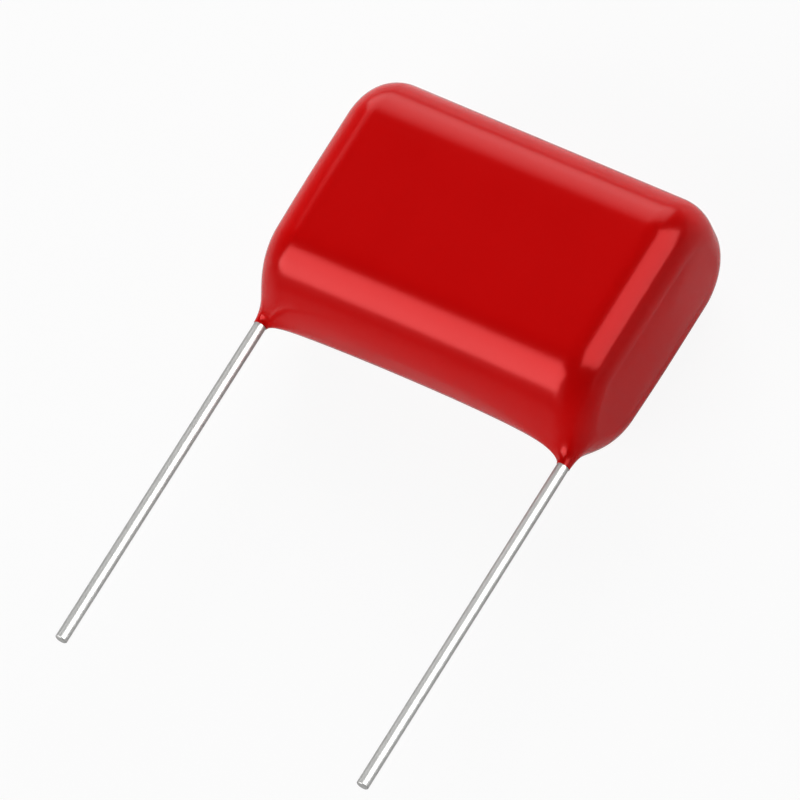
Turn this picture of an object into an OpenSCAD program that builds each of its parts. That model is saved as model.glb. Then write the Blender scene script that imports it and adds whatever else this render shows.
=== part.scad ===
// Dipped film capacitor with two straight radial wires, lying on its flat back face.
// +X runs from the left wire to the right wire, +Y from the wire edge to the far edge of the body,
// and +Z out of the front face. The origin is the centre of the flat back face. Millimetres.

/* [Body] */
// Length of the coated body, along the wire pitch
body_l = 25; // [24.8:0.1:26]
// Height of the coated body, from its wire edge to its far edge
body_h = 16.4; // [15:0.1:20]
// Thickness of the coated body, from the back face to the front face
body_t = 9.3; // [9:0.1:12]
// Radius of the long rounded edges beside the two flat faces
edge_r = 4.2; // [3.6:0.1:4.4]

/* [Ends] */
// How far each rounded end reaches in along the length
end_reach = 2.5; // [2.2:0.1:3]
// How much lower the end face is than the middle of the body, on each side
end_drop_h = 2.2; // [1.2:0.1:2.4]
// How much thinner the end face is than the middle of the body, on each side
end_drop_t = 2.3; // [1.6:0.1:2.6]
// How far the middle of each end face bulges out
end_bulge = 0.2; // [0.05:0.05:0.4]

/* [Menisci] */
// How far the coating runs down the left wire, past the wire edge of the body
left_run = 1.1; // [0.6:0.1:2]
// How far the coating runs down the right wire, past the wire edge of the body
right_run = 1.8; // [0.6:0.1:2.6]
// Distance in which a meniscus fades towards the middle of the body
inner_fade = 4.4; // [2:0.1:5]
// Distance in which a meniscus fades towards its end of the body
outer_fade = 0.5; // [0.4:0.1:1.5]
// Distance in which a meniscus fades across the thickness of the body
side_fade = 1.3; // [1:0.1:2]
// Share of the way that the skin of a meniscus is gathered in to its wire
gather = 0.85; // [0:0.05:0.9]
// Thickness of the coating where it ends on a wire
rim_t = 0.1; // [0.08:0.01:0.2]

/* [Wires] */
// Distance between the centres of the two wires
pitch = 22.5; // [22.3:0.1:22.6]
// How far the wires sit behind the middle of the body's thickness
wire_back = 0.25; // [0:0.05:0.4]
// Diameter of each wire
wire_d = 0.8; // [0.7:0.05:0.9]
// Length of the left wire past the wire edge of the body
left_free = 24.6; // [5:0.1:30]
// Length of the right wire past the wire edge of the body
right_free = 25.5; // [5:0.1:30]
// How far each wire runs up past the middle of the body, along the sprayed end
wire_weld = 4.5; // [1:0.5:5]
// Share of a wire's thickness that is left where it is pressed flat for welding
wire_press = 0.85; // [0.8:0.01:0.95]
// Chamfer left by the cutter on the free end of a wire
wire_chamfer = 0.06; // [0.02:0.01:0.1]

/* [Roll] */
// Thickness of the coating over the flat faces and the wire edge of the roll
coat_t = 0.7; // [0.6:0.05:0.9]
// Thickness of the plain film that closes the roll
wrap_t = 0.3; // [0.1:0.05:0.5]
// Thickness of the sprayed metal on each end of the roll
spray_t = 0.6; // [0.4:0.05:0.8]
// How far a wire is pressed into the sprayed metal
wire_sink = 0.15; // [0.05:0.05:0.3]
// Gap left in the roll by the pressed core
core_gap = 0.15; // [0.1:0.05:0.3]

/* [Hidden] */
$fn = 96;
coating_red = [0.70, 0.05, 0.04];
wrap_film = [0.90, 0.87, 0.76];
roll_grey = [0.70, 0.72, 0.74];
zinc_grey = [0.52, 0.53, 0.53];
tin_silver = [0.80, 0.80, 0.79];

wire_r = wire_d / 2;
rim_r = wire_r + rim_t;
wire_x = pitch / 2;
left_level = -body_h / 2 - left_run;
right_level = -body_h / 2 - right_run;
// Height, above the wire edge, up to which the menisci pull the coating down
pull_height = 7.4;
// The smallest share of the thickness that stays flat beside a rounded edge
flat_share = 0.15;
// Share of the rim's radius from which the skin is spread out to the rim itself
rim_core = 0.6;
// How far up inside its collar a wire stays round
round_in = 0.05;
// How far the round stretch of a wire tapers off inside its pressed stretch
round_tail = 0.15;

// Sizes of the roll and its sprayed ends
roll_h = body_h - 2 * coat_t;
roll_t = body_t - 2 * coat_t;
spray_in = 0.15;
spray_out = wire_x - wire_r * wire_press + wire_sink;
roll_l = 2 * (spray_out - spray_t);
core_share = 0.6;

// Stations along the right half: [x, how far the end has turned, size of the ring]
turn_x = body_l / 2 - end_bulge - end_reach;
mid_steps = 10;
crowding = 1.5;
end_angles = [0, 7, 13, 18, 22, 25, 28, 31, 34, 37, 40, 43, 47, 52, 58, 65, 73, 81, 90];
face_rings = [0.8, 0.55, 0.25];
right_stations = concat(
    [for (k = [1:mid_steps - 1]) [turn_x * (1 - pow(1 - k / mid_steps, crowding)), 0, 1]],
    [for (a = end_angles) [turn_x + end_reach * sin(a), 1 - cos(a), 1]],
    [for (s = face_rings) [body_l / 2 - end_bulge * s * s, 1, s]]);
last = len(right_stations) - 1;
stations = concat(
    [for (k = [last:-1:0]) [-right_stations[k][0], right_stations[k][1], right_stations[k][2]]],
    [[0, 0, 1]],
    right_stations);

// Turns of the rounded edges, close together where the menisci bend them
low_angles = [0, 3, 6, 9, 13, 18, 23, 29, 36, 44, 53, 64, 76, 90];
high_angles = [90, 78, 66, 54, 42, 30, 15, 0];
flat_steps = 5;

// Half of a cross-section as [y, z] points, from the wire edge over the front to the far edge
function half_ring(h, t, r) = concat(
    [for (k = [0:flat_steps - 1]) [-h, (t - r) * k / flat_steps]],
    [for (a = low_angles) [-(h - r) - r * cos(a), t - r + r * sin(a)]],
    [for (a = high_angles) [h - r + r * cos(a), t - r + r * sin(a)]],
    [[h, 0]]);

// A closed cross-section, mirrored to the back
function ring(h, t, r) = let(half = half_ring(h, t, r), n = len(half)) concat(
    half,
    [for (k = [n - 2:-1:1]) [half[k][0], -half[k][1]]]);

// Cross-section at a station, from half sizes that shrink as the end turns
function station_ring(s) = let(
    h = body_h / 2 - end_drop_h * s[1],
    t = body_t / 2 - end_drop_t * s[1],
    r = min(edge_r - end_drop_h * s[1], t * (1 - flat_share)))
    [for (p = ring(h, t, r)) [s[0], p[0] * s[2], p[1] * s[2]]];

// Smooth step from 0 to 1
function ease(u) = let(c = min(1, max(0, u))) c * c * (3 - 2 * c);

// How one meniscus moves a point: down towards its rim, and in to its wire. A point that starts
// inside the rim goes out to it, and the pull ends at the other wire. side is -1 for the left wire
function shift(p, side, level) = let(
    dx = p[0] * side - wire_x,
    dz = p[2] + wire_back,
    away = max(norm([dx, dz]), 0.001),
    over = max(0, away - rim_r),
    fade = dx < 0 ? inner_fade : outer_fade,
    steep = norm([dx / fade, dz / side_fade]) / away,
    to_other = min(1, max(0, -dx / pitch)),
    share = ease(-p[1] / pull_height) * exp(-over * steep) * (1 - pow(to_other, 4)),
    outward = over > 0 ? -over * gather : min(rim_r, away / rim_core) - away,
    move = outward * share / away)
    [side * dx * move, (level - p[1]) * share, dz * move];

// A point of the body, drawn by both menisci
function drawn(p) = p + shift(p, -1, left_level) + shift(p, 1, right_level);

rings = [for (s = stations) [for (p = station_ring(s)) drawn(p)]];
ring_n = len(rings[0]);
ring_count = len(rings);
left_pole = ring_n * ring_count;
right_pole = left_pole + 1;
coating_points = concat(
    [for (r = rings) each r],
    [[-body_l / 2, 0, 0], [body_l / 2, 0, 0]]);

// Two triangles for the cell after station i and ring point j, mirrored in each quarter of the body
function cell(i, j) = let(
    a = i * ring_n + j,
    b = i * ring_n + (j + 1) % ring_n,
    c = a + ring_n,
    d = b + ring_n)
    (i < (ring_count - 1) / 2) == (j < ring_n / 2) ? [[a, b, d], [a, d, c]] : [[a, b, c], [b, d, c]];

coating_faces = concat(
    [for (i = [0:ring_count - 2]) for (j = [0:ring_n - 1]) each cell(i, j)],
    [for (j = [0:ring_n - 1]) [left_pole, (j + 1) % ring_n, j]],
    [for (j = [0:ring_n - 1]) let(first = ring_n * (ring_count - 1))
        [right_pole, first + j, first + (j + 1) % ring_n]]);

// Lifts a piece from the middle of the body to its place above the back face
module lifted() {
    translate([0, 0, body_t / 2]) children();
}

// Extrudes a [y, z] section along the length, from x = 0
module along_length(l) {
    rotate([90, 0, 90]) linear_extrude(height = l) children();
}

// Flat-pressed outline with round edges
module pressed_outline(h, t) {
    union() {
        square([h - t, t], center = true);
        for (side = [-1, 1]) translate([side * (h - t) / 2, 0]) circle(d = t);
    }
}

// Everything inside the wrap's outer surface
module roll_form() {
    translate([-roll_l / 2, 0, 0]) along_length(roll_l) pressed_outline(roll_h, roll_t);
}

// Sprayed metal on the right end, before the wire is pressed in
module spray_form() {
    translate([roll_l / 2, 0, 0]) along_length(spray_t)
        pressed_outline(roll_h - 2 * spray_in, roll_t - 2 * spray_in);
}

// Section of a wire where it is pressed flat
module pressed_wire() {
    edge = wire_d / 4;
    offset(r = edge, $fn = 24)
        square([wire_d * wire_press - 2 * edge, wire_d - 2 * edge], center = true);
}

// Right-hand wire: round below its collar, pressed flat from there up to its welded end
module wire_form(run, free) {
    round_l = free - run + round_in;
    pressed_l = body_h / 2 + run - round_in + wire_weld;
    translate([wire_x, -body_h / 2 - free, -wire_back]) rotate([-90, 0, 0]) {
        rotate_extrude() polygon([[0, 0], [wire_r - wire_chamfer, 0], [wire_r, wire_chamfer],
            [wire_r, round_l], [wire_r / 2, round_l + round_tail], [0, round_l + round_tail]]);
        translate([0, 0, round_l]) linear_extrude(height = pressed_l) pressed_wire();
    }
}

module epoxy_coating() {
    color(coating_red) lifted() difference() {
        polyhedron(points = coating_points, faces = coating_faces, convexity = 6);
        roll_form();
        spray_form();
        mirror([1, 0, 0]) spray_form();
        wire_form(right_run, right_free);
        mirror([1, 0, 0]) wire_form(left_run, left_free);
    }
}

module outer_wrap() {
    color(wrap_film) lifted() translate([-roll_l / 2, 0, 0]) along_length(roll_l) difference() {
        pressed_outline(roll_h, roll_t);
        pressed_outline(roll_h - 2 * wrap_t, roll_t - 2 * wrap_t);
    }
}

module film_winding() {
    turns_h = roll_h - 2 * wrap_t;
    turns_t = roll_t - 2 * wrap_t;
    color(roll_grey) lifted() translate([-roll_l / 2, 0, 0]) along_length(roll_l) difference() {
        pressed_outline(turns_h, turns_t);
        square([turns_h * core_share, core_gap], center = true);
    }
}

module end_spray_right() {
    color(zinc_grey) lifted() difference() {
        spray_form();
        wire_form(right_run, right_free);
    }
}

module end_spray_left() {
    color(zinc_grey) lifted() mirror([1, 0, 0]) difference() {
        spray_form();
        wire_form(left_run, left_free);
    }
}

module lead_right() {
    color(tin_silver) lifted() wire_form(right_run, right_free);
}

module lead_left() {
    color(tin_silver) lifted() mirror([1, 0, 0]) wire_form(left_run, left_free);
}

epoxy_coating();
outer_wrap();
film_winding();
end_spray_left();
end_spray_right();
lead_left();
lead_right();
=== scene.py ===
"""Studio scene of a dipped film capacitor: red epoxy body, two straight tinned wires.

The part lies on its flat back face. +X runs from the left wire to the right wire, +Y away from
the wires, +Z out of the front face. Everything is in metres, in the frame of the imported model.
"""

import logging
import math
from collections.abc import Callable, Iterable, Sequence
from dataclasses import dataclass, field
from enum import Enum

import bpy
import numpy as np
from mathutils import Matrix, Vector


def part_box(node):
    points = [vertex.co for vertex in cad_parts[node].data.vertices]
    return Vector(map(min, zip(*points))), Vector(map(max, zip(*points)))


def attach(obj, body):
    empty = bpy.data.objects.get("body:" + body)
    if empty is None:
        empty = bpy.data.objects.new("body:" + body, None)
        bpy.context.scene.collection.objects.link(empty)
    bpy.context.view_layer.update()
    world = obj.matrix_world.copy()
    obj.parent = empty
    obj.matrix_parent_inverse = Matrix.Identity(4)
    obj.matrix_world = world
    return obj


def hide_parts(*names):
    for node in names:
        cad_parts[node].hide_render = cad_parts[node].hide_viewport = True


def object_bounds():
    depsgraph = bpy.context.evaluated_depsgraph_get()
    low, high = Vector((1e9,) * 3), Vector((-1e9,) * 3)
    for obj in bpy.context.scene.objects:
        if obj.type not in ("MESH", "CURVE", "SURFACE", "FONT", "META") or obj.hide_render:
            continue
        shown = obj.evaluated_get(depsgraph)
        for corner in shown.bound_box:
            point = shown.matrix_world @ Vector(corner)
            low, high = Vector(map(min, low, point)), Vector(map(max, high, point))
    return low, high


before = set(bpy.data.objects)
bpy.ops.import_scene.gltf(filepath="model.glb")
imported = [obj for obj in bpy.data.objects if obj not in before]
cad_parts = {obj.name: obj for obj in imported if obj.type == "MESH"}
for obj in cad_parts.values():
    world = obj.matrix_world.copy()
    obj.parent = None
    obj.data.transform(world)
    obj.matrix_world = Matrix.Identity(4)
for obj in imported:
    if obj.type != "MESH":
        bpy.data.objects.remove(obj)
CAD_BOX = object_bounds()
LOG = logging.getLogger("dipped_capacitor")
MM = 0.001

Colour = tuple[float, float, float, float]
Point = tuple[float, float, float]


class Side(Enum):
    """The two ends of the part, each with the sign of its X."""

    LEFT = -1
    RIGHT = 1

    @property
    def word(self) -> str:
        """The side's name as the nodes spell it."""
        return self.name.lower()


# ---------------------------------------------------------------- shader tools


class Number:
    """A number socket in a shader: ordinary operators add its Math nodes."""

    def __init__(self, shader: "Shader", socket: bpy.types.NodeSocket) -> None:
        """Wraps one output socket of a shader's node."""
        self.shader = shader
        self.socket = socket

    def _math(self, operation: str, first: object, second: object) -> "Number":
        """Adds a Math node for one operation on two operands."""
        made = self.shader.node("ShaderNodeMath", {"operation": operation}, {0: first, 1: second})
        return Number(self.shader, made.outputs[0])

    def __add__(self, other: object) -> "Number":
        """self + other."""
        return self._math("ADD", self, other)

    def __radd__(self, other: object) -> "Number":
        """other + self."""
        return self._math("ADD", other, self)

    def __sub__(self, other: object) -> "Number":
        """self - other."""
        return self._math("SUBTRACT", self, other)

    def __rsub__(self, other: object) -> "Number":
        """other - self."""
        return self._math("SUBTRACT", other, self)

    def __mul__(self, other: object) -> "Number":
        """self * other."""
        return self._math("MULTIPLY", self, other)

    def __rmul__(self, other: object) -> "Number":
        """other * self."""
        return self._math("MULTIPLY", other, self)

    def __pow__(self, other: object) -> "Number":
        """self ** other."""
        return self._math("POWER", self, other)


class NodeTree:
    """A node tree that starts empty, with one method that adds any node."""

    def __init__(self, tree: bpy.types.NodeTree) -> None:
        """Empties the tree and keeps it."""
        self.tree = tree
        tree.nodes.clear()

    def node(
        self,
        kind: str,
        settings: dict[str, object] | None = None,
        sockets: dict[str | int, object] | None = None,
    ) -> bpy.types.Node:
        """Adds a node, sets its settings first and then its sockets.

        Args:
            kind: The node's type.
            settings: Properties of the node; "stops" is a ramp's list of (place, colour).
            sockets: Values or links, by the input's name or number.

        Returns:
            The new node.
        """
        made = self.tree.nodes.new(kind)
        for name, value in (settings or {}).items():
            if name == "stops":
                self._set_stops(made.color_ramp, value)
            else:
                setattr(made, name, value)
        for key, value in (sockets or {}).items():
            self.feed(made.inputs[key], value)
        return made

    @staticmethod
    def _set_stops(ramp: bpy.types.ColorRamp, stops: Sequence[tuple[float, Colour]]) -> None:
        """Gives a colour ramp its stops, in place of the two that it starts with."""
        while len(ramp.elements) < len(stops):
            ramp.elements.new(1.0)
        for element, (place, colour) in zip(ramp.elements, stops, strict=True):
            element.position = place
            element.color = colour

    def feed(self, socket: bpy.types.NodeSocket, value: object) -> None:
        """Links a socket to a number or an output, or sets a plain value on it."""
        if isinstance(value, Number):
            self.tree.links.new(value.socket, socket)
        elif isinstance(value, bpy.types.NodeSocket):
            self.tree.links.new(value, socket)
        else:
            socket.default_value = value


class Shader(NodeTree):
    """One material's node tree, with a Principled BSDF as its surface."""

    def __init__(self, name: str) -> None:
        """Makes an empty material of that name and its surface shader."""
        self.material = bpy.data.materials.new(name)
        self.material.use_nodes = True
        super().__init__(self.material.node_tree)
        self.surface = self.node("ShaderNodeBsdfPrincipled")
        self.output = self.node("ShaderNodeOutputMaterial", sockets={"Surface": self.surface.outputs[0]})

    def place(self, stretch: Point = (1.0, 1.0, 1.0)) -> bpy.types.NodeSocket:
        """The point on the part, in metres, stretched along each axis.

        Args:
            stretch: How much faster a pattern runs along X, Y and Z.

        Returns:
            A vector output.
        """
        coordinates = self.node("ShaderNodeTexCoord").outputs["Object"]
        stretched = self.node(
            "ShaderNodeVectorMath", {"operation": "MULTIPLY"}, {0: coordinates, 1: stretch}
        )
        return stretched.outputs[0]

    def cloud(self, per_metre: float, detail: float = 2.0, stretch: Point = (1.0, 1.0, 1.0)) -> Number:
        """A soft random pattern between 0 and 1.

        Args:
            per_metre: How many blotches fit in a metre.
            detail: Octaves of finer blotches.
            stretch: How much faster the pattern runs along X, Y and Z.

        Returns:
            The pattern as a number.
        """
        made = self.node(
            "ShaderNodeTexNoise",
            sockets={"Vector": self.place(stretch), "Scale": per_metre, "Detail": detail},
        )
        return Number(self, made.outputs[0])

    def blend(self, share: Number, first: Colour, second: Colour) -> bpy.types.NodeSocket:
        """Mixes two colours by a share between 0 and 1."""
        made = self.node("ShaderNodeMix", {"data_type": "RGBA"}, {0: share, 6: first, 7: second})
        return made.outputs[2]

    def relief(self, height: Number, depth: float, strength: float = 1.0) -> bpy.types.NodeSocket:
        """Turns a height pattern into a surface normal.

        Args:
            height: The pattern, from 0 to 1.
            depth: How deep the pattern is, in metres.
            strength: Share of the relief that shows.

        Returns:
            A normal output.
        """
        made = self.node(
            "ShaderNodeBump", sockets={"Height": height, "Distance": depth, "Strength": strength}
        )
        return made.outputs[0]

    def set_surface(self, **values: object) -> bpy.types.Material:
        """Feeds the surface's sockets, named with underscores for spaces.

        Args:
            **values: A value or link for each socket.

        Returns:
            The finished material.
        """
        for name, value in values.items():
            self.feed(self.surface.inputs[name.replace("_", " ")], value)
        return self.material


# ---------------------------------------------------------------- finishes


@dataclass(frozen=True)
class EpoxyFinish:
    """Glossy dipped epoxy: even deep red with a faint flow in colour, gloss and level."""

    deep: Colour = (0.46, 0.0013, 0.0013, 1.0)
    light: Colour = (0.49, 0.0020, 0.0020, 1.0)
    gloss_low: float = 0.16
    gloss_spread: float = 0.05
    sheen_level: float = 0.36
    sheen_tint: Colour = (1.0, 0.15, 0.15, 1.0)
    flow_per_metre: float = 240.0
    grain_per_metre: float = 2400.0
    flow_depth: float = 0.010 * MM
    grain_share: float = 0.04

    def material(self) -> bpy.types.Material:
        """Builds the material."""
        shader = Shader("dipped_epoxy")
        flow = shader.cloud(self.flow_per_metre, 1.0)
        grain = shader.cloud(self.grain_per_metre, 2.0)
        return shader.set_surface(
            Base_Color=shader.blend(flow, self.deep, self.light),
            Roughness=self.gloss_low + grain * self.gloss_spread,
            Specular_IOR_Level=self.sheen_level,
            Specular_Tint=self.sheen_tint,
            Normal=shader.relief(flow + grain * self.grain_share, self.flow_depth),
        )


@dataclass(frozen=True)
class TinnedWireFinish:
    """Drawn wire under a satin tin coat, with fine lines along its length."""

    bright: Colour = (0.50, 0.50, 0.49, 1.0)
    dull: Colour = (0.34, 0.34, 0.33, 1.0)
    metal_share: float = 0.85
    gloss_low: float = 0.38
    gloss_spread: float = 0.10
    lines_per_metre: float = 9000.0
    line_stretch: Point = (1.0, 0.012, 1.0)
    line_depth: float = 0.003 * MM
    spots_per_metre: float = 1500.0

    def material(self) -> bpy.types.Material:
        """Builds the material."""
        shader = Shader("tinned_wire")
        lines = shader.cloud(self.lines_per_metre, 3.0, self.line_stretch)
        spots = shader.cloud(self.spots_per_metre, 3.0)
        return shader.set_surface(
            Base_Color=shader.blend(spots ** 2.0, self.bright, self.dull),
            Metallic=self.metal_share,
            Roughness=self.gloss_low + spots * self.gloss_spread,
            Normal=shader.relief(lines, self.line_depth),
        )


@dataclass(frozen=True)
class SprayedZincFinish:
    """Flame-sprayed zinc: dull grey grains, each a flattened droplet."""

    pale: Colour = (0.56, 0.57, 0.57, 1.0)
    dark: Colour = (0.30, 0.31, 0.31, 1.0)
    grains_per_metre: float = 5200.0
    grain_depth: float = 0.05 * MM

    def material(self) -> bpy.types.Material:
        """Builds the material."""
        shader = Shader("sprayed_zinc")
        grains = shader.cloud(self.grains_per_metre, 5.0)
        return shader.set_surface(
            Base_Color=shader.blend(grains, self.dark, self.pale),
            Metallic=0.8,
            Roughness=0.45 + grains * 0.35,
            Normal=shader.relief(grains, self.grain_depth),
        )


@dataclass(frozen=True)
class FilmRollFinish:
    """Edges of many metallised film turns: fine grey bands that follow the flat faces."""

    silver: Colour = (0.62, 0.64, 0.67, 1.0)
    shade: Colour = (0.34, 0.36, 0.39, 1.0)
    turns_per_metre: float = 7000.0
    turn_stretch: Point = (0.02, 0.05, 1.0)
    turn_depth: float = 0.01 * MM

    def material(self) -> bpy.types.Material:
        """Builds the material."""
        shader = Shader("metallised_film")
        turns = shader.cloud(self.turns_per_metre, 2.0, self.turn_stretch)
        return shader.set_surface(
            Base_Color=shader.blend(turns, self.shade, self.silver),
            Metallic=0.6,
            Roughness=0.3 + turns * 0.2,
            Normal=shader.relief(turns, self.turn_depth),
        )


@dataclass(frozen=True)
class WrapFilmFinish:
    """Clear plain film, heat sealed round the roll, with faint wrinkles whose hollows are darkened with
    painted shade.
    """

    clear: Colour = (0.86, 0.83, 0.72, 1.0)
    # The darker second colour is painted shade that goes into the wrinkle hollows.
    painted_wrinkle_shade: Colour = (0.74, 0.70, 0.58, 1.0)
    wrinkles_per_metre: float = 700.0
    wrinkle_stretch: Point = (0.3, 1.0, 1.0)
    wrinkle_depth: float = 0.03 * MM

    def material(self) -> bpy.types.Material:
        """Builds the material."""
        shader = Shader("wrap_film")
        wrinkles = shader.cloud(self.wrinkles_per_metre, 3.0, self.wrinkle_stretch)
        return shader.set_surface(
            # Painted shade: where the wrinkle relief is low, the colour blends to the darker painted-shade
            # tone.
            Base_Color=shader.blend(wrinkles, self.painted_wrinkle_shade, self.clear),
            Roughness=0.12 + wrinkles * 0.15,
            Normal=shader.relief(wrinkles, self.wrinkle_depth),
        )


@dataclass(frozen=True)
class FloorFinish:
    """Plain matt paper, mixed with white by a share for each kind of ray that meets it."""

    paper: Colour = (0.61, 0.61, 0.61, 1.0)
    shade: Colour = (0.59, 0.59, 0.59, 1.0)
    fibres_per_metre: float = 40.0
    white_to: tuple[tuple[str, float], ...] = (
        ("Is Camera Ray", 0.92),
        ("Is Glossy Ray", 0.12),
        ("Is Transmission Ray", 0.88),
    )

    def material(self) -> bpy.types.Material:
        """Builds the material."""
        shader = Shader("studio_paper")
        fibres = shader.cloud(self.fibres_per_metre, 1.0)
        material = shader.set_surface(
            Base_Color=shader.blend(fibres, self.shade, self.paper),
            Roughness=0.9,
            Specular_IOR_Level=0.1,
        )
        path = shader.node("ShaderNodeLightPath").outputs
        white_share = sum((Number(shader, path[name]) * share for name, share in self.white_to), 0.0)
        white = shader.node("ShaderNodeEmission", sockets={"Color": (1.0, 1.0, 1.0, 1.0), "Strength": 1.0})
        mixed = shader.node(
            "ShaderNodeMixShader",
            sockets={0: white_share, 1: shader.surface.outputs[0], 2: white.outputs[0]},
        )
        shader.feed(shader.output.inputs["Surface"], mixed.outputs[0])
        return material


# ---------------------------------------------------------------- mesh tools


def mesh_object(
    name: str, points: Iterable[Sequence[float]], faces: Iterable[Sequence[int]], crease_deg: float
) -> bpy.types.Object:
    """Makes a smooth-shaded object whose edges over an angle stay sharp.

    Args:
        name: The object's name.
        points: Vertices, in metres.
        faces: Vertex numbers of each face.
        crease_deg: The angle above which an edge is sharp.

    Returns:
        The object, linked to the scene.
    """
    mesh = bpy.data.meshes.new(name)
    mesh.from_pydata([tuple(p) for p in points], [], [tuple(f) for f in faces])
    mesh.validate()
    mesh.polygons.foreach_set("use_smooth", [True] * len(mesh.polygons))
    mesh.set_sharp_from_angle(angle=math.radians(crease_deg))
    made = bpy.data.objects.new(name, mesh)
    bpy.context.scene.collection.objects.link(made)
    return made


def loft_faces(rings: int, per_ring: int) -> list[tuple[int, ...]]:
    """Quads between closed rings, and a cap on the first and the last ring.

    Args:
        rings: How many rings there are.
        per_ring: Points in each ring.

    Returns:
        The faces, with outward normals for rings that run anticlockwise seen from the last one.
    """
    faces: list[tuple[int, ...]] = []
    for i in range(rings - 1):
        for j in range(per_ring):
            k = (j + 1) % per_ring
            a, b = i * per_ring, (i + 1) * per_ring
            faces.append((a + j, a + k, b + k, b + j))
    faces.append(tuple(reversed(range(per_ring))))
    faces.append(tuple(range((rings - 1) * per_ring, rings * per_ring)))
    return faces


def hollow_out(shell: bpy.types.Object, inside: Sequence[bpy.types.Object]) -> None:
    """Cuts the space of the inner solids out of a closed shell.

    Args:
        shell: The object that is cut.
        inside: Closed solids that it holds.
    """
    for solid in inside:
        cut = shell.modifiers.new(f"room_for_{solid.name}", "BOOLEAN")
        cut.operation = "DIFFERENCE"
        cut.solver = "EXACT"
        cut.object = solid
    graph = bpy.context.evaluated_depsgraph_get()
    hollow = bpy.data.meshes.new_from_object(shell.evaluated_get(graph))
    shell.modifiers.clear()
    shell.data = hollow


def spread(low: float, high: float, count: int, shape: Callable[[float], float]) -> list[float]:
    """Values from low up to, but without, high, spaced by a function of 0 to 1."""
    return [low + (high - low) * shape(k / count) for k in range(count)]


# ---------------------------------------------------------------- the coating


@dataclass(frozen=True)
class Meniscus:
    """The collar in which the coating is drawn down to one wire."""

    side: Side
    wire: tuple[float, float]
    level: float
    rim_r: float
    inner_fade: float = 4.4 * MM
    outer_fade: float = 0.5 * MM
    side_fade: float = 1.3 * MM
    gather: float = 0.85
    pull_height: float = 7.4 * MM
    rim_core: float = 0.6

    def shift(self, points: np.ndarray) -> np.ndarray:
        """How far the meniscus moves each point: down to its rim, and in to its wire.

        A point that starts inside the rim goes out to it, and the pull ends at the other wire.

        Args:
            points: Points about the middle of the body.

        Returns:
            The moves, as wide as the points.
        """
        outward = points[:, 0] * self.side.value - self.wire[0]
        across = points[:, 2] - self.wire[1]
        away = np.maximum(np.hypot(outward, across), 1e-6)
        over = np.maximum(away - self.rim_r, 0.0)
        fade = np.where(outward < 0, self.inner_fade, self.outer_fade)
        steep = np.hypot(outward / fade, across / self.side_fade) / away
        low = np.clip(-points[:, 1] / self.pull_height, 0.0, 1.0)
        to_other = np.clip(-outward / (2 * self.wire[0]), 0.0, 1.0)
        share = low * low * (3 - 2 * low) * np.exp(-over * steep) * (1 - to_other**4)
        spread_out = np.minimum(self.rim_r, away / self.rim_core) - away
        move = np.where(over > 0, -over * self.gather, spread_out) * share / away
        return np.column_stack(
            (self.side.value * outward * move, (self.level - points[:, 1]) * share, across * move)
        )


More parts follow.
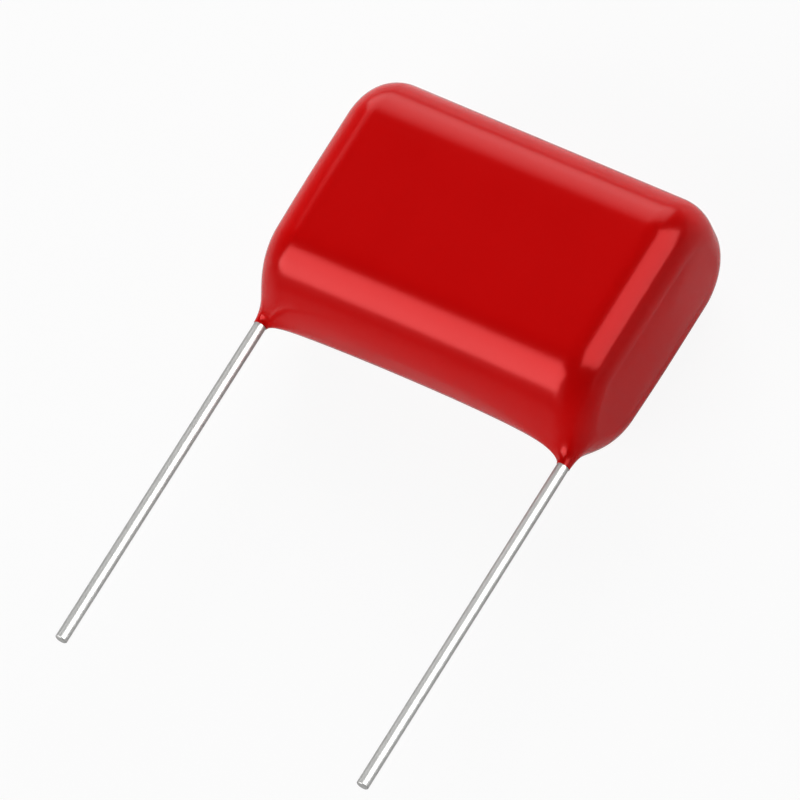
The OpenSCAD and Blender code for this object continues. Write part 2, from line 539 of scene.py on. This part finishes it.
@dataclass
class DippedCoating:
    """The dipped epoxy shell, drawn down to each wire and hollow around the roll.

    Overall sizes come from the frame; the fields are the sizes that a box doesn't give.
    """

    edge_r: float = 4.2 * MM
    end_reach: float = 2.5 * MM
    end_drop_h: float = 2.2 * MM
    end_drop_t: float = 2.3 * MM
    end_bulge: float = 0.2 * MM
    left_run: float = 1.1 * MM
    rim_t: float = 0.04 * MM
    flat_share: float = 0.15
    middle_steps: int = 34
    turn_steps: int = 60
    cap_sizes: tuple[float, ...] = (0.93, 0.82, 0.68, 0.5, 0.3, 0.1)
    edge_steps: int = 12
    low_curve_steps: int = 44
    face_steps: int = 14
    high_curve_steps: int = 26
    crease_deg: float = 40.0
    finish: EpoxyFinish = field(default_factory=EpoxyFinish)

    def __post_init__(self) -> None:
        """Reads the overall sizes from the frame."""
        low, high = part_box("epoxy_coating")
        wire_low, wire_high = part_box("lead_right")
        self.half_l = (high.x - low.x) / 2
        self.half_h = high.y
        self.half_t = (high.z - low.z) / 2
        self.middle_z = (high.z + low.z) / 2
        wire = ((wire_low.x + wire_high.x) / 2, (wire_low.z + wire_high.z) / 2 - self.middle_z)
        rim_r = (wire_high.x - wire_low.x) / 2 + self.rim_t
        self.menisci = (
            Meniscus(Side.LEFT, wire, -self.half_h - self.left_run, rim_r),
            Meniscus(Side.RIGHT, wire, low.y, rim_r),
        )

    def stations(self) -> list[tuple[float, float, float]]:
        """Lists the right half's rings: X, how far the end has turned, size of the ring."""
        turn_x = self.half_l - self.end_bulge - self.end_reach
        made = [(x, 0.0, 1.0) for x in spread(0.0, turn_x, self.middle_steps, lambda u: 1 - (1 - u) ** 1.4)]
        for angle in np.linspace(0.0, math.pi / 2, self.turn_steps):
            made.append((turn_x + self.end_reach * math.sin(angle), 1 - math.cos(angle), 1.0))
        for size in self.cap_sizes:
            made.append((self.half_l - self.end_bulge * size**2, 1.0, size))
        return made

    def half_ring(self, h: float, t: float, r: float) -> list[tuple[float, float]]:
        """Half a cross-section as (y, z), from the wire edge over the front to the far edge."""
        made = [(-h, z) for z in spread(0.0, t - r, self.edge_steps, lambda u: u)]
        for angle in spread(0.0, math.pi / 2, self.low_curve_steps, lambda u: u**1.5):
            made.append((-(h - r) - r * math.cos(angle), t - r + r * math.sin(angle)))
        made += [(y, t) for y in spread(-(h - r), h - r, self.face_steps, lambda u: u)]
        for angle in spread(math.pi / 2, 0.0, self.high_curve_steps, lambda u: u):
            made.append((h - r + r * math.cos(angle), t - r + r * math.sin(angle)))
        made += [(h, t - r), (h, 0.0)]
        return made

    def section(self, turned: float, size: float) -> np.ndarray:
        """A closed cross-section where the end has turned by a share.

        Args:
            turned: 0 along the middle, 1 at the end face.
            size: Scale of the ring.

        Returns:
            The section's (y, z) points.
        """
        h = self.half_h - self.end_drop_h * turned
        t = self.half_t - self.end_drop_t * turned
        r = min(self.edge_r - self.end_drop_h * turned, t * (1 - self.flat_share))
        half = self.half_ring(h, t, r)
        back = [(y, -z) for y, z in half[-2:0:-1]]
        return np.array(half + back) * size

    def skin(self) -> bpy.types.Object:
        """Builds the outer skin.

        Returns:
            The closed skin.
        """
        right = self.stations()
        stations = [(-x, turned, size) for x, turned, size in reversed(right[1:])] + right
        rings = []
        for x, turned, size in stations:
            section = self.section(turned, size)
            rings.append(np.column_stack([np.full(len(section), x), section]))
        points = np.concatenate(rings)
        points = points + sum(meniscus.shift(points) for meniscus in self.menisci)
        points[:, 2] += self.middle_z
        faces = loft_faces(len(rings), len(rings[0]))
        return mesh_object("dipped_coating", points, faces, self.crease_deg)

    def build(self, inside: Sequence[bpy.types.Object]) -> bpy.types.Object:
        """Builds and dresses the coating.

        Args:
            inside: The solids that it is cast around.

        Returns:
            The coating, which stands for its CAD node.
        """
        made = self.skin()
        hollow_out(made, inside)
        made.data.materials.clear()
        made.data.materials.append(self.finish.material())
        made.data.polygons.foreach_set("material_index", [0] * len(made.data.polygons))
        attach(made, "root")
        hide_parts("epoxy_coating")
        return made


# ---------------------------------------------------------------- the wires


@dataclass
class TinnedWire:
    """One tinned wire: cut square, round outside the coating, pressed flat inside it."""

    side: Side
    collar_y: float
    press: float = 0.85
    chamfer: float = 0.06 * MM
    blend: float = 0.2 * MM
    around: int = 48
    round_steps: int = 60
    pressed_steps: int = 8
    crease_deg: float = 30.0

    def ring(self, radius: float, pressed: bool) -> list[tuple[float, float]]:
        """A cross-section of the wire as (x, z).

        Args:
            radius: Radius of the round wire there.
            pressed: Whether the wire is pressed flat there.

        Returns:
            The section's points.
        """
        edge = radius / 2 if pressed else radius
        flat_x = radius * self.press - edge if pressed else 0.0
        flat_z = radius - edge
        points = []
        for k in range(self.around):
            angle = -2 * math.pi * k / self.around
            c, s = round(math.cos(angle), 9), round(math.sin(angle), 9)
            points.append((flat_x * float(np.sign(c)) + edge * c, flat_z * float(np.sign(s)) + edge * s))
        return points

    def build(self, finish: bpy.types.Material) -> bpy.types.Object:
        """Builds and dresses the wire.

        Args:
            finish: The wire's material.

        Returns:
            The wire, which stands for its CAD node.
        """
        low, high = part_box(f"lead_{self.side.word}")
        centre_x, centre_z = (low.x + high.x) / 2, (low.z + high.z) / 2
        radius = (high.x - low.x) / 2
        cut = radius - self.chamfer
        stations = [(low.y, self.ring(cut / 2, False)), (low.y, self.ring(cut, False))]
        for y in np.linspace(low.y + self.chamfer, self.collar_y + self.blend / 2, self.round_steps):
            stations.append((y, self.ring(radius, False)))
        for y in np.linspace(self.collar_y + self.blend, high.y, self.pressed_steps):
            stations.append((y, self.ring(radius, True)))
        points = [(centre_x + x, y, centre_z + z) for y, ring in stations for x, z in ring]
        faces = loft_faces(len(stations), self.around)
        made = mesh_object(f"wire_{self.side.word}", points, faces, self.crease_deg)
        made.data.materials.append(finish)
        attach(made, "root")
        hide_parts(f"lead_{self.side.word}")
        return made


# ---------------------------------------------------------------- inside


@dataclass(frozen=True)
class PressedRoll:
    """The roll and its sprayed ends, sealed in the coating: CAD solids with real finishes."""

    film: FilmRollFinish = field(default_factory=FilmRollFinish)
    wrap: WrapFilmFinish = field(default_factory=WrapFilmFinish)
    zinc: SprayedZincFinish = field(default_factory=SprayedZincFinish)

    def dress(self) -> list[bpy.types.Object]:
        """Gives every inner solid its material.

        Returns:
            The dressed solids.
        """
        zinc = self.zinc.material()
        finishes = {
            "film_winding": self.film.material(),
            "outer_wrap": self.wrap.material(),
            "end_spray_left": zinc,
            "end_spray_right": zinc,
        }
        dressed = []
        for name, material in finishes.items():
            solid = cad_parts[name]
            for material_slot in solid.material_slots:
                material_slot.material = material
            dressed.append(solid)
        return dressed


# ---------------------------------------------------------------- the studio


class LampUse(Enum):
    """What a lamp does for the part."""

    BOTH = "both"
    LIGHTS = "lights"
    MIRRORED = "mirrored"


@dataclass(frozen=True)
class Softbox:
    """A rectangular lamp that faces the part."""

    name: str
    towards: Point
    distance: float
    width: float
    height: float
    watts: float
    use: LampUse = LampUse.BOTH

    def build(self, aim: Vector) -> bpy.types.Object:
        """Places the lamp.

        Args:
            aim: The point that it faces.

        Returns:
            The lamp's object.
        """
        data = bpy.data.lights.new(self.name, "AREA")
        data.shape = "RECTANGLE"
        data.size, data.size_y = self.width, self.height
        data.energy = self.watts
        made = bpy.data.objects.new(self.name, data)
        direction = Vector(self.towards).normalized()
        made.location = aim + direction * self.distance
        made.rotation_mode = "QUATERNION"
        made.rotation_quaternion = direction.to_track_quat("Z", "Y")
        made.visible_glossy = self.use is not LampUse.LIGHTS
        made.visible_diffuse = self.use is not LampUse.MIRRORED
        made.visible_camera = False
        bpy.context.scene.collection.objects.link(made)
        return made


@dataclass
class Studio:
    """Pale floor, soft lamps, a sky that is dim overhead, and the camera.

    The sky's greys are given by height above the horizon, from 0 to 1.
    """

    yaw: float = 27.7
    pitch: float = 18.0
    roll: float = 32.3
    lens: float = 1200.0
    frame_width: float = 48.19 * MM
    centre_in_frame: tuple[float, float] = (0.1144, 0.1686)
    floor_size: float = 12.0
    sky_greys: tuple[tuple[float, float], ...] = ((0.0, 0.40), (0.15, 0.30), (0.50, 0.06))
    softboxes: tuple[Softbox, ...] = (
        Softbox("front_fill", (-0.34, -0.82, 0.46), 0.8, 0.70, 0.50, 5.8, LampUse.LIGHTS),
        Softbox("back_fill", (-0.34, 0.82, 0.46), 0.8, 0.70, 0.50, 4.0, LampUse.LIGHTS),
        Softbox("right_fill", (0.99, 0.05, 0.10), 0.8, 0.50, 0.16, 2.0, LampUse.LIGHTS),
        Softbox("low_band", (-0.44, -0.61, 0.66), 0.6, 0.40, 0.42, 5.6, LampUse.MIRRORED),
        Softbox("upper_band", (-0.44, 0.76, 0.49), 0.7, 0.80, 0.54, 2.8),
        Softbox("upper_band_core", (-0.44, 0.76, 0.50), 0.69, 0.74, 0.34, 1.15),
        Softbox("right_strip", (0.66, 0.33, 0.68), 0.6, 0.46, 0.56, 7.5, LampUse.MIRRORED),
    )

    def build(self) -> None:
        """Makes the floor, the light and the camera."""
        self._floor()
        self._world()
        low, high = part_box("epoxy_coating")
        aim = (low + high) / 2
        for softbox in self.softboxes:
            softbox.build(aim)
        self._camera()
        bpy.context.scene.view_settings.view_transform = "Standard"

    def _floor(self) -> None:
        """Lays the floor under the part."""
        half = self.floor_size / 2
        level = CAD_BOX[0].z
        corners = [(-half, -half, level), (half, -half, level), (half, half, level), (-half, half, level)]
        floor = mesh_object("studio_floor", corners, [(0, 1, 2, 3)], 30.0)
        floor.data.materials.append(FloorFinish().material())

    def _world(self) -> None:
        """Makes a world that is brighter at the horizon than overhead."""
        world = bpy.data.worlds.new("studio_world")
        bpy.context.scene.world = world
        world.use_nodes = True
        sky = NodeTree(world.node_tree)
        coordinates = sky.node("ShaderNodeTexCoord")
        height = sky.node("ShaderNodeSeparateXYZ", sockets={0: coordinates.outputs["Generated"]})
        stops = [(place, (grey, grey, grey, 1.0)) for place, grey in self.sky_greys]
        ramp = sky.node("ShaderNodeValToRGB", {"stops": stops}, {0: height.outputs[2]})
        background = sky.node("ShaderNodeBackground", sockets={0: ramp.outputs[0]})
        sky.node("ShaderNodeOutputWorld", sockets={0: background.outputs[0]})

    def _camera(self) -> None:
        """Places the camera: seen from the wire side, a little from the right, and rolled."""
        yaw, pitch, roll = (math.radians(angle) for angle in (self.yaw, self.pitch, self.roll))
        back = Vector((math.sin(yaw) * math.cos(pitch), -math.sin(pitch), math.cos(yaw) * math.cos(pitch)))
        level = Vector((math.cos(yaw), 0.0, -math.sin(yaw)))
        upright = back.cross(level)
        right = math.cos(roll) * level + math.sin(roll) * upright
        up = back.cross(right)
        data = bpy.data.cameras.new("studio_camera")
        data.lens = self.lens
        data.clip_start, data.clip_end = 0.05, 50.0
        low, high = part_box("epoxy_coating")
        middle = Vector((0.0, 0.0, (low.z + high.z) / 2))
        distance = self.frame_width * data.lens / data.sensor_width
        aside, above = (share * self.frame_width for share in self.centre_in_frame)
        camera = bpy.data.objects.new("studio_camera", data)
        camera.matrix_world = Matrix.Translation(
            middle + back * distance - right * aside - up * above
        ) @ Matrix((right, up, back)).transposed().to_4x4()
        bpy.context.scene.collection.objects.link(camera)
        bpy.context.scene.camera = camera


def main() -> None:
    """Builds the scene, piece by piece."""
    logging.basicConfig(level=logging.INFO, format="%(name)s: %(message)s")
    Studio().build()
    LOG.info("studio ready")
    inner = PressedRoll().dress()
    for solid in inner:
        LOG.info("dressed %s", solid.name)
    coating = DippedCoating()
    tin = TinnedWireFinish().material()
    wires = []
    for meniscus in coating.menisci:
        wires.append(TinnedWire(meniscus.side, meniscus.level).build(tin))
        LOG.info("built %s", wires[-1].name)
    LOG.info("built %s", coating.build(inner + wires).name)


if __name__ == "__main__":
    main()
